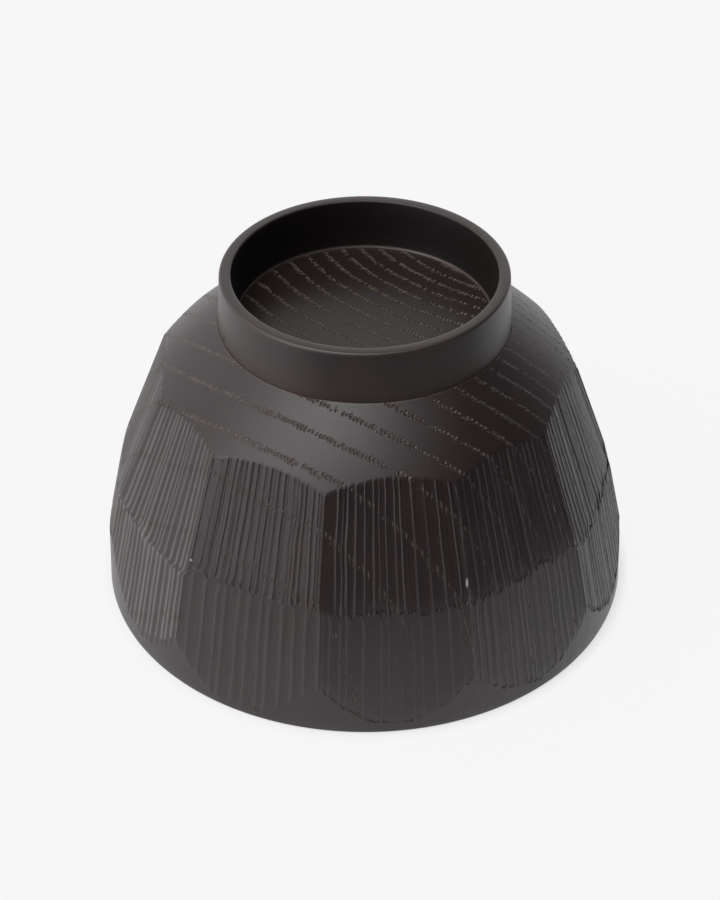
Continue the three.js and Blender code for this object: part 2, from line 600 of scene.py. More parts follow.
    def skin(self) -> tuple[Array, Array]:
        """Shapes the carved outside, from the lip's flat up to the foot ring's groove.

        Returns:
            Places in millimetres by row, column and axis, and three masks by row and column: the ridges
            between flutes, everything below the shoulder, and the ridges that are painted paler as a
            highlight.
        """
        total = self.facet_count * self.columns
        index = np.repeat(np.arange(self.facet_count), self.columns)
        start = self.spread(self.ridges(Row.UPPER, np.array([self.crease_height])))[0]
        ones = np.ones(total)
        usual = {Row.UPPER: self.crease_share, Row.LOWER: 1.0}
        ends = {
            row: np.where(np.isin(index, self.flutes[row].faded), self.faded_share, usual[row]) for row in Row
        }

        def lower(z: Array) -> Array:
            """Tells where the lower facets lie inside the blank."""
            deep = self.low[Row.LOWER] + self.entry[Row.LOWER]
            return self.facet(Row.LOWER, index, start, z, deep) < self.blank(z)

        def upper(z: Array) -> Array:
            """Tells where the upper facets lie inside the lower ones."""
            deep = self.facet(Row.UPPER, index, start, z, self.low[Row.UPPER] * ends[Row.UPPER])
            return deep < self.facet(Row.LOWER, index, start, z, self.high[Row.LOWER] * ends[Row.LOWER])

        def shoulder(z: Array) -> Array:
            """Tells where the shoulder lies inside the upper facets."""
            deep = self.high[Row.UPPER] + self.entry[Row.UPPER]
            return self.blank(z) < self.facet(Row.UPPER, index, start, z, deep)

        foot, crease, top = (
            bisected(ones * low, ones * high, inside)
            for (low, high), inside in (
                (self.facet_foot_span, lower),
                (self.crease_span, upper),
                (self.facet_top_span, shoulder),
            )
        )
        floor = {Row.UPPER: crease, Row.LOWER: foot}
        ceiling = {Row.UPPER: top, Row.LOWER: crease}

        corner = self.lip_outer_round
        lip = arc((self.rim_radius - corner, corner), corner, -90, 0, self.lip_steps)
        heights: list[Array] = [ones * z for z in lip[:, 1]]
        rims: list[Optional[Array]] = [ones * r for r in lip[:, 0]]

        def run(low: Array, high: Array, shares: Sequence[float]) -> None:
            """Adds rows between two heights that differ by column."""
            for share in shares:
                heights.append(low + (high - low) * share)
                rims.append(None)

        end = self.rim_edge()
        run(ones * corner, foot, self.band_rows)
        run(foot, crease, self.lower_rows)
        run(crease, top, self.upper_rows)
        run(top, ones * end[0, 1], self.shoulder_rows)
        for r, z in end[1:]:
            heights.append(ones * z)
            rims.append(ones * r)

        wander = self.wander(np.random.default_rng(self.wander_seed), total)
        settle, rise = self.wander_ends
        levels = np.stack(heights)
        share = np.tile(np.arange(self.columns) / self.columns, self.facet_count)
        out = np.zeros((len(heights), total + 1, 3))
        mask = np.zeros((len(heights), total + 1, 3))
        for i, z in enumerate(levels):
            azimuth = self.columns_at(z, crease, share, index)
            azimuth = azimuth + wander(z) * smooth(0.0, settle, z - foot) * smooth(0.0, rise, top - z)
            cuts: dict[Row, Array] = {}
            for row in Row:
                above = z - floor[row]
                along = np.clip(above / (ceiling[row] - floor[row]), 0, 1)
                depth = self.low[row] * (1 - along) + self.high[row] * along
                fade = ends[row] + (1 - ends[row]) * smooth(0.0, self.crease_fade, np.abs(z - crease))
                started = top - z if row is Row.UPPER else above
                plunge = self.entry[row] * (1 - smooth(0.0, self.plunge_run[row], started))
                stop = (z > floor[row] + self.ledge_gap) * (1 - smooth(*self.ledge_run[row], above))
                cuts[row] = depth * fade + plunge + self.notch[row] * stop
            rim = rims[i]
            r = self.radius(index, azimuth, z, cuts) if rim is None else rim
            turn = np.radians(azimuth)
            out[i, :-1] = np.stack([r * np.sin(turn), -r * np.cos(turn), z], axis=1)
            on_upper = (z > crease) & (z < top)
            on_lower = (z > foot) & (z <= crease)
            lower_ridge = self.lower_wear * self.ridge[Row.LOWER]
            carved = np.where(z < top, self.facet_mark, 0.0)
            mask[i, :-1, 0] = self.ridge[Row.UPPER] * on_upper + lower_ridge * on_lower
            mask[i, :-1, 1] = np.where(z < foot - self.mark_gap, 1.0, carved)
            # Mask of the painted highlight on the ridges of the facets that face the light.
            mask[i, :-1, 2] = self.ridge_highlight[Row.UPPER] * on_upper + self.ridge_highlight[Row.LOWER] * on_lower
        out[:, -1] = out[:, 0]
        mask[:, -1] = mask[:, 0]
        return out, mask

    def columns_at(self, z: Array, crease: Array, share: Array, index: Array) -> Array:
        """The azimuth of each column at its own height, so that columns follow the ridges between facets.

        Args:
            z: The height of each column.
            crease: The height of each column's crease.
            share: How far each column lies across its facet, from 0 to 1.
            index: The facet number of each column.

        Returns:
            Azimuths in degrees.
        """
        grid = np.linspace(*self.ridge_levels)
        weight = smooth(-self.crease_turn, self.crease_turn, z - crease)
        found = np.zeros((2, len(z)))
        for row in Row:
            table = self.ridges(row, grid)
            for side in (0, 1):
                edges = table[:, index + side]
                at = np.array([np.interp(level, grid, edge) for level, edge in zip(z, edges.T)])
                found[side] += at * (weight if row is Row.UPPER else 1 - weight)
        return found[0] + (found[1] - found[0]) * share

    def wander(self, rng: np.random.Generator, total: int) -> Callable[[Array], Array]:
        """A slow sideways wander of the flutes, in degrees.

        Args:
            rng: The seeded generator.
            total: How many columns there are.

        Returns:
            A function from heights to offsets, one for each column.
        """
        knots = self.wander_knots
        coarse = rng.normal(0, self.wander_size, (knots, self.facet_count * self.wander_waves))
        inside = np.arange(total) / total * coarse.shape[1]
        left = inside.astype(int)
        part = inside - left
        right = (left + 1) % coarse.shape[1]
        table = coarse[:, left] * (1 - part) + coarse[:, right] * part
        still = np.arange(total) % self.columns == 0

        def at(z: Array) -> Array:
            """Interpolates the wander at each column's height."""
            step = np.clip(z / self.wander_top * (knots - 1), 0, knots - 1)
            low = np.minimum(step.astype(int), knots - 2)
            share = step - low
            place = np.arange(total)
            value = table[low, place] * (1 - share) + table[low + 1, place] * share
            return np.where(still, 0.0, value)

        return at

    def rim_edge(self) -> Array:
        """The worn edge where the shoulder drops into the foot ring's groove.

        Returns:
            Radius and height of each point, from the shoulder down to the groove's floor.
        """
        r = self.seam_radius
        reach = r + self.bead[0][0] - self.arc_centre[0]
        z = self.arc_centre[1] + math.sqrt(self.arc_radius**2 - reach**2)
        return np.array([*((r + out, z + up) for out, up in self.bead), (r, self.groove_floor)])

    def inside_profile(self) -> Profile:
        """The inside's outline, from the lip's flat up to the middle of its floor.

        Returns:
            Radius and height of each point.
        """
        lip, corner = self.rim_radius - self.lip_thickness, self.lip_inner_round
        edge = arc((lip + corner, corner), corner, 270, 180, self.inside_lip_steps)
        t = np.linspace(0, 1, self.inside_steps + 1)[1:, None]
        ends = [
            (lip, corner),
            (lip - self.inside_lean * self.inside_wall_reach, self.inside_wall_reach),
            (self.inside_floor_reach, self.inside_floor),
            (0.0, self.inside_floor),
        ]
        a, b, c, d = (np.array(point) for point in ends)
        curve = (1 - t) ** 3 * a + 3 * t * (1 - t) ** 2 * b + 3 * t**2 * (1 - t) * c + t**3 * d
        return [tuple(point) for point in np.concatenate([edge, curve])]

    def recess_profile(self) -> Profile:
        """The raised recess floor's outline, from the groove's floor to its middle.

        Returns:
            Radius and height of each point.
        """
        r, z = self.boss_radius, self.recess_floor
        side = [(r, z - drop) for drop in self.boss_edge]
        return [(r, self.groove_floor), *side, *((share * r, z) for share in self.recess_rings)]

    def build(self) -> bpy.types.Object:
        """Carves the body and closes it up.

        Returns:
            The finished body, which stands for the solid of the same name.
        """
        points, mask = self.skin()
        body, row, column = wrapped_grid("bowl_body_carved", points)
        for i, name in enumerate(("ridge", "carved", "ridge_highlight")):
            values = body.data.attributes.new(name, "FLOAT", "POINT")
            values.data.foreach_set("value", mask[row, column, i].astype(np.float32))
        inside = spun("bowl_inside", self.inside_profile(), self.turned_steps, closed=False)
        recess = spun("bowl_recess", self.recess_profile(), self.turned_steps, closed=False)
        only(body)
        inside.select_set(True)
        recess.select_set(True)
        bpy.ops.object.join()
        close_up()
        fill_between_rims(body, 0.0)
        fill_between_rims(body, self.groove_floor)
        close_up()
        bpy.ops.object.shade_smooth_by_angle(angle=math.radians(self.crisp_from))
        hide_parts("bowl_body")
        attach(body, BODY)
        return body

    def dress(self, body: bpy.types.Object, finish: "WipedLacquer") -> None:
        """Gives the body its finish.

        Args:
            body: The carved body.
            finish: The lacquer on open-pored wood.
        """
        body.data.materials.clear()
        body.data.materials.append(finish.material())


@dataclass
class FootRing:
    """The turned foot ring, glued into its groove, in millimetres and degrees.

    The fillet's points are shares of its size out from the toe and up from the recess floor.
    """

    base_radius: float = 30.95
    taper: float = 0.55
    wall: float = 2.55
    toe: float = 1.05
    outer_round: float = 0.62
    inner_round: float = 0.45
    fillet: float = 0.5
    height: float = 77.3
    recess_floor: float = 66.0
    shoulder_line: float = 65.85
    base: float = 64.9
    steps: int = 220
    outer_steps: int = 7
    inner_steps: int = 6
    inner_end: float = 170.0
    slope_rows: tuple[float, ...] = (0.3, 0.65, 1.0)
    wall_rows: tuple[float, ...] = (0.04, 0.3, 0.6, 0.9)
    fillet_curve: tuple[Span, ...] = ((0.6, 1.0), (0.3, 0.42), (0.1, 0.24), (0.0, 0.04))
    crisp_from: float = 40.0

    def profile(self) -> Profile:
        """The ring's section, with a rounded standing edge and an inside that leans in to a small fillet.

        Returns:
            Radius and height of each point.
        """
        outer = self.base_radius - self.taper
        inner = outer - self.wall
        toe = inner - self.toe
        out, into = self.outer_round, self.inner_round
        top = arc((outer - out, self.height - out), out, 0, 90, self.outer_steps)
        lip = arc((inner + into, self.height - into), into, 90, self.inner_end, self.inner_steps)
        floor, size = self.recess_floor, self.fillet
        foot, *hollow = ((toe + right * size, floor + up * size) for right, up in self.fillet_curve)
        r, z = lip[-1]
        slope = [(r + (foot[0] - r) * t, z + (foot[1] - z) * t) for t in self.slope_rows]
        low = self.shoulder_line
        side = [(self.base_radius, self.base), (self.base_radius, low)]
        rise = self.height - self.outer_round - low
        wall = [(self.base_radius - self.taper * s, low + rise * s) for s in self.wall_rows]
        points = [(toe, self.base), *side, *wall, *top, *lip, *slope, *hollow]
        return [(float(r), float(z)) for r, z in points]

    def build(self) -> bpy.types.Object:
        """Turns the ring.

        Returns:
            The finished ring, which stands for the solid of the same name.
        """
        ring = spun("foot_ring_turned", self.profile(), self.steps, closed=True)
        only(ring)
        bpy.ops.object.shade_smooth_by_angle(angle=math.radians(self.crisp_from))
        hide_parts("foot_ring")
        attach(ring, BODY)
        return ring

    def dress(self, ring: bpy.types.Object, finish: "SmoothLacquer") -> None:
        """Gives the ring its finish.

        Args:
            ring: The turned ring.
            finish: The lacquer on close-grained wood.
        """
        ring.data.materials.clear()
        ring.data.materials.append(finish.material())


# Shader maths


class Wire:
    """A shader socket that takes part in Python arithmetic."""

    def __init__(self, graph: "Graph", socket: bpy.types.NodeSocket) -> None:
        """Wraps one output socket of a graph."""
        self.graph = graph
        self.socket = socket

    def math(self, operation: str, *others: "Value") -> "Wire":
        """Adds a Math node that starts from this value.

        Args:
            operation: The Math node's operation.
            others: Its further inputs.

        Returns:
            The node's result.
        """
        return self.graph.math(operation, self, *others)

    def __add__(self, other: "Value") -> "Wire":
        """This value plus another."""
        return self.math("ADD", other)

    def __radd__(self, other: "Value") -> "Wire":
        """Another value plus this."""
        return self.math("ADD", other)

    def __sub__(self, other: "Value") -> "Wire":
        """This value less another."""
        return self.math("SUBTRACT", other)

    def __rsub__(self, other: "Value") -> "Wire":
        """Another value less this."""
        return self.graph.math("SUBTRACT", other, self)

    def __mul__(self, other: "Value") -> "Wire":
        """This value times another."""
        return self.math("MULTIPLY", other)

    def __rmul__(self, other: "Value") -> "Wire":
        """Another value times this."""
        return self.math("MULTIPLY", other)

    def __truediv__(self, other: "Value") -> "Wire":
        """This value over another."""
        return self.math("DIVIDE", other)

    def __rtruediv__(self, other: "Value") -> "Wire":
        """Another value over this."""
        return self.graph.math("DIVIDE", other, self)


Value = Union[Wire, Number]


class Graph:
    """A node tree that is written as expressions."""

    def __init__(self, tree: bpy.types.NodeTree) -> None:
        """Empties a node tree for writing."""
        self.tree = tree
        tree.nodes.clear()

    def node(self, kind: str, settings: Optional[dict[str, Any]] = None, **inputs: Any) -> bpy.types.Node:
        """Adds any node.

        Args:
            kind: The node's type.
            settings: Its settings, which are set first.
            inputs: Values or links of its sockets, by name with underscores for spaces, or by number after
                an underscore.

        Returns:
            The new node.
        """
        made = self.tree.nodes.new(kind)
        for name, value in (settings or {}).items():
            setattr(made, name, value)
        for name, value in inputs.items():
            key: Union[int, str] = int(name[1:]) if name[1:].isdigit() else name.replace("_", " ")
            socket = made.inputs[key]
            if isinstance(value, Wire):
                self.tree.links.new(value.socket, socket)
            else:
                socket.default_value = value
        return made

    def out(self, node: bpy.types.Node, name: Union[int, str] = 0) -> Wire:
        """One output of a node as a wire."""
        return Wire(self, node.outputs[name])

    def math(self, operation: str, *values: Value) -> Wire:
        """Adds a Math node and returns its result."""
        inputs = {f"_{i}": value for i, value in enumerate(values)}
        return self.out(self.node("ShaderNodeMath", {"operation": operation}, **inputs))

    def vector(self, operation: str, *values: Any, result: Union[int, str] = 0) -> Wire:
        """Adds a Vector Math node.

        Args:
            operation: The node's operation.
            values: Its inputs in order.
            result: The name or number of the output.

        Returns:
            That output.
        """
        inputs = {f"_{i}": value for i, value in enumerate(values)}
        return self.out(self.node("ShaderNodeVectorMath", {"operation": operation}, **inputs), result)

    def ramp(self, value: Wire, low: Value, high: Value) -> Wire:
        """Rises smoothly from 0 at low to 1 at high."""
        settings = {"interpolation_type": "SMOOTHSTEP", "clamp": True}
        return self.out(self.node("ShaderNodeMapRange", settings, Value=value, From_Min=low, From_Max=high))

    def blend(self, share: Value, first: Any, second: Any) -> Wire:
        """Mixes two colours.

        Args:
            share: How much of the second one shows.
            first: A colour or a wire.
            second: A colour or a wire.

        Returns:
            The mixed colour.
        """
        settings = {"data_type": "RGBA", "clamp_factor": True}
        return self.out(self.node("ShaderNodeMix", settings, _0=share, _6=first, _7=second), 2)

    def noise(self, place: Wire, scale: float, detail: float = 2.0, roughness: float = 0.5) -> Wire:
        """Smooth noise between 0 and 1.

        Args:
            place: Where the noise is read, in millimetres.
            scale: Waves for each millimetre.
            detail: How many finer layers it has.
            roughness: How strong these are.

        Returns:
            The noise value.
        """
        inputs = {"Vector": place, "Scale": scale, "Detail": detail, "Roughness": roughness}
        return self.out(self.node("ShaderNodeTexNoise", {"noise_dimensions": "3D"}, **inputs), 0)

    def split(self, value: Wire) -> tuple[Wire, Wire, Wire]:
        """Splits a vector or a colour into its three values."""
        parts = self.node("ShaderNodeSeparateXYZ", None, Vector=value)
        return self.out(parts, 0), self.out(parts, 1), self.out(parts, 2)

    def join(self, x: Value, y: Value, z: Value) -> Wire:
        """Joins three values into a vector."""
        return self.out(self.node("ShaderNodeCombineXYZ", None, X=x, Y=y, Z=z))

    def between(self, share: Wire, low: float, high: float) -> Wire:
        """Goes from low to high as a share goes from 0 to 1."""
        return share * (high - low) + low

    def stretched(self, place: Wire, stretch: Place, *settings: float) -> Wire:
        """Noise that is drawn out along an axis.

        Args:
            place: Where the noise is read, in millimetres.
            stretch: Waves for each millimetre along each axis.
            settings: The noise's scale, detail and roughness.

        Returns:
            The noise value.
        """
        return self.noise(self.vector("MULTIPLY", place, stretch), *settings)

    def dice(self, dimensions: str, x: Value, y: Value, z: Value) -> bpy.types.Node:
        """Throws white noise once for each set of whole numbers."""
        settings = {"noise_dimensions": dimensions}
        return self.node("ShaderNodeTexWhiteNoise", settings, Vector=self.join(x, y, z))

    def millimetres(self) -> Wire:
        """The object's own coordinates, in millimetres."""
        here = self.out(self.node("ShaderNodeTexCoord"), "Object")
        return self.out(self.node("ShaderNodeVectorMath", {"operation": "SCALE"}, _0=here, Scale=1 / MM))

    def attribute(self, name: str) -> Wire:
        """A value that the mesh carries at its corners."""
        return self.out(self.node("ShaderNodeAttribute", {"attribute_name": name}), "Fac")

    def bump(self, height: Wire) -> Wire:
        """A normal that is bumped by a height in millimetres."""
        return self.out(self.node("ShaderNodeBump", None, Strength=1.0, Distance=MM, Height=height))

    def principled(self, base: Any, rough: Value, index: float, **more: Wire) -> bpy.types.Node:
        """Adds a Principled shader.

        Args:
            base: The base colour or its wire.
            rough: The roughness.
            index: The index of refraction.
            more: Further links, by socket.

        Returns:
            The shader's node.
        """
        inputs = {"Base_Color": base, "Roughness": rough, "IOR": index, **more}
        return self.node("ShaderNodeBsdfPrincipled", None, **inputs)

    def mixed(self, share: Value, first: bpy.types.Node, second: bpy.types.Node) -> None:
        """Ends the graph with a mix of two shaders.

        Args:
            share: How much of the second one shows.
            first: A shader's node.
            second: Another shader's node.
        """
        made = self.node("ShaderNodeMixShader", None, _0=share, _1=self.out(first), _2=self.out(second))
        self.node("ShaderNodeOutputMaterial", None, Surface=self.out(made))


def colour(red: float, green: float, blue: float) -> Colour:
    """An opaque linear colour."""
    return red, green, blue, 1.0


def new_finish(name: str) -> tuple[bpy.types.Material, Graph]:
    """Adds an empty material.

    Args:
        name: The material's name.

    Returns:
        The material and its graph.
    """
    made = bpy.data.materials.new(name)
    made.use_nodes = True
    return made, Graph(made.node_tree)


# Finishes


@dataclass(frozen=True)
class GrowthRings:
    """The wood's growth rings: pipes round a bent pith that lies outside the bowl, in millimetres."""

    pith: Place = (81.23, 78.25, 2.6)
    fibre: Place = (-0.2443, 0.2223, 0.9439)
    aside: Place = (0.3, 1.0, 0.1)
    bend: Span = (-10.155, 13.636)
    bend_span: float = 50.0
    middle: float = 117.0
    reach: float = 45.0
    count: tuple[float, float, float, float] = (8.7786, 8.4567, -2.2679, 0.4233)
    waviness: float = 0.5
    wave_noise: Span = (0.06, 1.5)
    pitch: float = 0.80
    wide_pitch: float = 0.95
    wide_from: float = 1.22
    pore_length: float = 1.2

    def axes(self) -> tuple[Vector, Vector]:
        """Two directions square to the fibre."""
        along = Vector(self.fibre).normalized()
        first = along.cross(Vector(self.aside)).normalized()
        return first, along.cross(first)

    def read(self, graph: Graph, place: Wire) -> tuple[Wire, Wire, Wire, Wire, Wire]:
        """Works out where a point lies in its growth ring.

        Args:
            graph: The graph to write in.
            place: The point in millimetres.

        Returns:
            The ring's number, the distance from its pore row, the way along the row counted in pores, the
            distance between pores there, and the way along the fibre. Distances are in millimetres.
        """
        first, second = self.axes()
        away = graph.vector("SUBTRACT", place, self.pith)
        fibre = graph.vector("DOT_PRODUCT", away, self.fibre, result="Value")
        along = fibre / self.bend_span
        sweep = along * along
        a = graph.vector("DOT_PRODUCT", away, tuple(first), result="Value") - sweep * self.bend[0]
        b = graph.vector("DOT_PRODUCT", away, tuple(second), result="Value") - sweep * self.bend[1]
        wave = (graph.noise(place, *self.wave_noise) - 0.5) * (2 * self.waviness)
        distance = (a * a + b * b).math("SQRT") + wave
        x = (distance - self.middle) / self.reach
        c0, c1, c2, c3 = self.count
        number = ((x * c3 + c2) * x + c1) * x + c0
        slope = ((x * (3 * c3) + 2 * c2) * x + c1) / self.reach
        ring = number.math("ROUND")
        across = (number - ring) / slope
        turn = b.math("ARCTAN2", a)
        start = self.wide_from / self.pitch - self.wide_from / self.wide_pitch
        steps = (turn / self.pitch).math("MINIMUM", turn / self.wide_pitch + start) * (distance - across)
        gap = self.pitch + turn.math("GREATER_THAN", self.wide_from) * (self.wide_pitch - self.pitch)
        return ring, across, steps, gap, fibre


@dataclass(frozen=True)
class PoreLine:
    """One line of pores in a growth ring.

    The shift and half a pore's length are in millimetres, half its width is a share of the distance between
    pores, and keep is the share of pores that are open.
    """

    shift: float
    length: float
    width: float
    keep: float


@dataclass(frozen=True)
class Fleck:
    """A small chip in the lacquer: its middle and half its size in millimetres, and where its edge fades."""

    middle: Place
    reach: Place
    edge: Span = (0.5, 1.0)

    def mask(self, graph: Graph, place: Wire) -> Wire:
        """Tells how much of the chip shows at a place.

        Args:
            graph: The graph to write in.
            place: The point in millimetres.

        Returns:
            A mask that is 1 inside the chip.
        """
        off = graph.vector("DIVIDE", graph.vector("SUBTRACT", place, self.middle), self.reach)
        return 1.0 - graph.ramp(graph.vector("LENGTH", off, result="Value"), *self.edge)


@dataclass(frozen=True)
class Pores:
    """The open pores along the growth rings.

    The ranges are shares of a pore's usual size. The jitter is a share of the distance between pores along a
    row, and millimetres across it. The rim's place and width are squared reaches of a pore, and its height is
    a share of the pore's depth. The shifts, the stagger and the shuffle keep rows and rings from repeating.
    Towards the bowl's right side, in millimetres along X, pores get shorter and broader.
    """

    rings: GrowthRings = GrowthRings()
    main: PoreLine = PoreLine(0.0, 0.48, 0.36, 0.93)
    spare: PoreLine = PoreLine(0.5, 0.28, 0.26, 0.4)
    spare_share: float = 0.7
    length_range: Span = (0.7, 1.3)
    width_range: Span = (0.75, 1.25)
    jitter: float = 0.3
    closing: Span = (0.36, 0.5)
    rim_place: float = 1.3
    rim_width: float = 0.55
    rim_height: float = 0.22
    right_side: Span = (14.0, 36.0)
    shorter: float = 0.4
    broader: float = 0.8
    ring_shift: float = 37.13
    line_shift: float = 11.7
    stagger: float = 9.0
    shuffle: Span = (7.31, 3.77)

    def line(self, graph: Graph, place: Wire, line: PoreLine, size: Wire) -> Wire:
        """One line of pores along every growth ring.

        Args:
            graph: The graph to write in.
            place: The point in millimetres.
            line: Where the line lies in its ring, and how large its pores are.
            size: How many times as large as usual they are here.

        Returns:
            A mask that is 1 inside a pore and slightly below 0 on its raised rim.
        """
        ring, across, steps, gap, fibre = self.rings.read(graph, place)
        step = steps + ring * self.ring_shift + line.shift * self.line_shift
        cell = step.math("FLOOR")
        stagger = graph.out(graph.dice("2D", ring, cell, 0.0), "Value")
        reach = fibre / self.rings.pore_length + stagger * self.stagger
        link = reach.math("FLOOR")
        dice = graph.dice("3D", ring, cell, link)
        first, second, third = graph.split(graph.out(dice, "Color"))
        fourth = graph.out(dice, "Value")
        x, _, _ = graph.split(place)
        short = 1.0 - graph.ramp(x, *self.right_side) * self.shorter
        broad = (1.0 + self.broader) - short * self.broader
        length = graph.between(second, *self.length_range) * line.length * short * size
        width = graph.between(third, *self.width_range) * gap * line.width * broad * size
        off_along = (step - cell - 0.5 - (first - 0.5) * self.jitter) * gap / width
        off_across = (across - line.shift - (fourth - 0.5) * self.jitter) / length
        far = off_along * off_along + off_across * off_across
        thrown = (first * self.shuffle[0] + second * self.shuffle[1]).math("FRACT")
        there = thrown.math("LESS_THAN", line.keep)
        end = 1.0 - graph.ramp((reach - link - 0.5).math("ABSOLUTE"), *self.closing)
        rim = (1.0 - (far - self.rim_place).math("ABSOLUTE") / self.rim_width).math("MAXIMUM", 0.0)
        return ((1.0 - far).math("MAXIMUM", 0.0) - rim * self.rim_height) * there * end

    def pattern(self, graph: Graph, place: Wire, size: Wire) -> Wire:
        """All the pores.

        Args:
            graph: The graph to write in.
            place: The point in millimetres.
            size: How many times as large as usual they are here.

        Returns:
            A mask as of one line.
        """
        main, spare = (self.line(graph, place, line, size) for line in (self.main, self.spare))
        return main + spare * self.spare_share


@dataclass(frozen=True)
class WipedLacquer:
    """Thin black-brown wiped lacquer on open-pored, ring-porous wood.

    Places, heights and radii are in millimetres, and a noise is its scale, detail and roughness. A span is
    where something starts and ends, and a share is how strongly it shows. The mesh's carved mask is 0 on the
    shoulder, about a half on the facets and 1 on the band below them.
    """

    name: str = "body_wood_wiped_lacquer"
    deep: Colour = colour(0.0140, 0.0066, 0.0076)
    warm: Colour = colour(0.0190, 0.0090, 0.0096)
    pore: Colour = colour(0.090, 0.064, 0.048)
    tan: Colour = colour(0.16, 0.122, 0.098)
    shade: Colour = colour(0.016, 0.010, 0.009)
    # Pale dust in the pores; also the painted highlight of the pores on the left, lit side.
    dust_and_highlight: Colour = colour(0.17, 0.15, 0.14)
    # Wear on the flute ridges of the body.
    wear_and_highlight: Colour = colour(0.034, 0.025, 0.024)
    # Painted highlight colour for the ridges of the facets that face the light.
    painted_ridge_highlight: Colour = colour(0.145, 0.131, 0.127)
    bare: Colour = colour(0.26, 0.24, 0.23)
    # Paler colour along the bead at the seam with the foot ring.
    lightened: Colour = colour(0.050, 0.026, 0.021)
    gloss: Span = (0.36, 0.46)
    index: float = 1.56
    pores: Pores = Pores()
    chips: tuple[Fleck, ...] = (
        Fleck((20.75, -47.76, 32.87), (0.32, 0.8, 1.4)),
        Fleck((-35.94, -38.37, 31.1), (0.36, 0.36, 0.42)),
    )
    cloud_noise: Place = (0.09, 3.0, 0.6)
    cloud_span: Span = (0.3, 0.75)
    grain_stretch: Place = (2.2, 2.2, 0.12)
    streak_stretch: Place = (3.2, 3.2, 0.09)
    fine_noise: Place = (1.0, 2.0, 0.6)

    recess_height: Span = (65.2, 65.5)
    recess_edge: Span = (28.5, 29.5)
    recess_middle: Span = (10.0, 24.0)
    recess_shade: float = 0.9
    recess_gloss: float = 0.08
    recess_smaller: float = 0.08
    recess_closed: float = 0.12
    seam_height: Span = (65.5, 65.7)
    seam_share: float = 0.6
    # Where the left, lit side lies, and how much paler its pores are filled there as a painted highlight.
    lit_side: Span = (-26.0, -8.0)
    lit_side_pale: float = 0.45

    facets_from: Span = (0.1, 0.4)
    band_from: Span = (0.5, 0.9)
    facet_smaller: float = 0.3
    carved_fill: float = 0.8
    carved_closed: float = 0.75
    wear_gain: float = 1.4
    wear_loss: float = 0.2
    ridge_highlight_share: float = 0.8

    pore_depth: float = 0.15
    pit_share: float = 0.25
    pit_rough: Span = (0.1, 0.35)
    grain_height: Span = (0.012, 0.03)
    streak_height: float = 0.06
    dust_noise: Span = (1.3, 0.0)
    dust_span: Span = (0.56, 0.66)
    dust_share: float = 0.5
    dust_ridge: float = 0.8
    hole_span: Span = (0.45, 0.9)
    hole_wider: float = 0.3
    hole_share: Span = (0.6, 0.25)
    hole_rough: float = 0.85
    hole_index: float = 1.3

    def material(self) -> bpy.types.Material:
        """Writes the finish.

        Returns:
            The new material.
        """
        made, graph = new_finish(self.name)
        place = graph.millimetres()
        x, y, z = graph.split(place)
        radius = (x * x + y * y).math("SQRT")
        carved = graph.attribute("carved")
        ridge = graph.attribute("ridge")
        recess = graph.ramp(z, *self.recess_height) * (1.0 - graph.ramp(radius, *self.recess_edge))
        seam = graph.ramp(z, *self.seam_height) * (1.0 - recess)
        cut = graph.ramp(carved, *self.facets_from)
        facet = cut * (1.0 - graph.ramp(carved, *self.band_from))
        # Painted highlight mask: the left side, which faces the light, away from the carved facets and band.
        left = (1.0 - graph.ramp(x, *self.lit_side)) * (1.0 - cut)

        size = 1.0 - recess * self.recess_smaller - facet * self.facet_smaller
        pattern = self.pores.pattern(graph, place, size)
        relief = pattern * (1.0 - carved * self.carved_fill)
        pits = relief.math("MAXIMUM", 0.0)
        cloud = graph.noise(place, *self.cloud_noise)
        grain = graph.stretched(place, self.grain_stretch, *self.fine_noise)
        streak = graph.stretched(place, self.streak_stretch, *self.fine_noise)

        wood = graph.blend(graph.ramp(cloud, *self.cloud_span), self.deep, self.warm)
        wood = graph.blend(recess * self.recess_shade, wood, self.shade)
        wood = graph.blend(ridge * (streak * self.wear_gain - self.wear_loss), wood, self.wear_and_highlight)
        # Painted highlight: the ridges of the facets that face the light are painted paler.
        wood = graph.blend(graph.attribute("ridge_highlight") * self.ridge_highlight_share, wood, self.painted_ridge_highlight)
        wood = graph.blend(pits * self.pit_share, wood, self.pore)
        # Paler along the bead at the seam with the foot ring.
        wood = graph.blend(seam * self.seam_share, wood, self.lightened)
        for chip in self.chips:
            wood = graph.blend(chip.mask(graph, place), wood, self.bare)
        rough = graph.between(grain, *self.gloss) - recess * self.recess_gloss
        rough = rough + pits * (self.pit_rough[0] + carved * self.pit_rough[1])
        height = grain * (self.grain_height[0] + carved * self.grain_height[1])
        height = height + streak * facet * self.streak_height - relief * self.pore_depth
        normal = graph.bump(height)
        lacquer = graph.principled(wood, rough, self.index, Normal=normal)

        dusty = graph.ramp(graph.noise(place, *self.dust_noise), *self.dust_span) * self.dust_share
        # Pore fill: paler on the left, lit side as a painted highlight, tan in the recess, and dusty on the
        # carving.
        inside = graph.blend(left * self.lit_side_pale, self.pore, self.dust_and_highlight)
        inside = graph.blend(recess, inside, self.tan)
        inside = graph.blend((dusty + ridge * self.dust_ridge) * cut, inside, self.dust_and_highlight)
        open_wood = graph.principled(inside, self.hole_rough, self.hole_index, Normal=normal)

        # The fill shows wider and stronger in the recess and on the left, lit side, where it is part of the
        # painted highlight.
        wider = recess.math("MAXIMUM", left)
        low, high = (edge - wider * self.hole_wider for edge in self.hole_span)
        hole = graph.ramp(pattern, low, high) * (self.hole_share[0] + wider * self.hole_share[1])
        middle = recess * (1.0 - graph.ramp(radius, *self.recess_middle))
        hole = hole * (1.0 - carved * self.carved_closed) * (1.0 - middle * self.recess_closed)
        graph.mixed(hole, lacquer, open_wood)
        return made


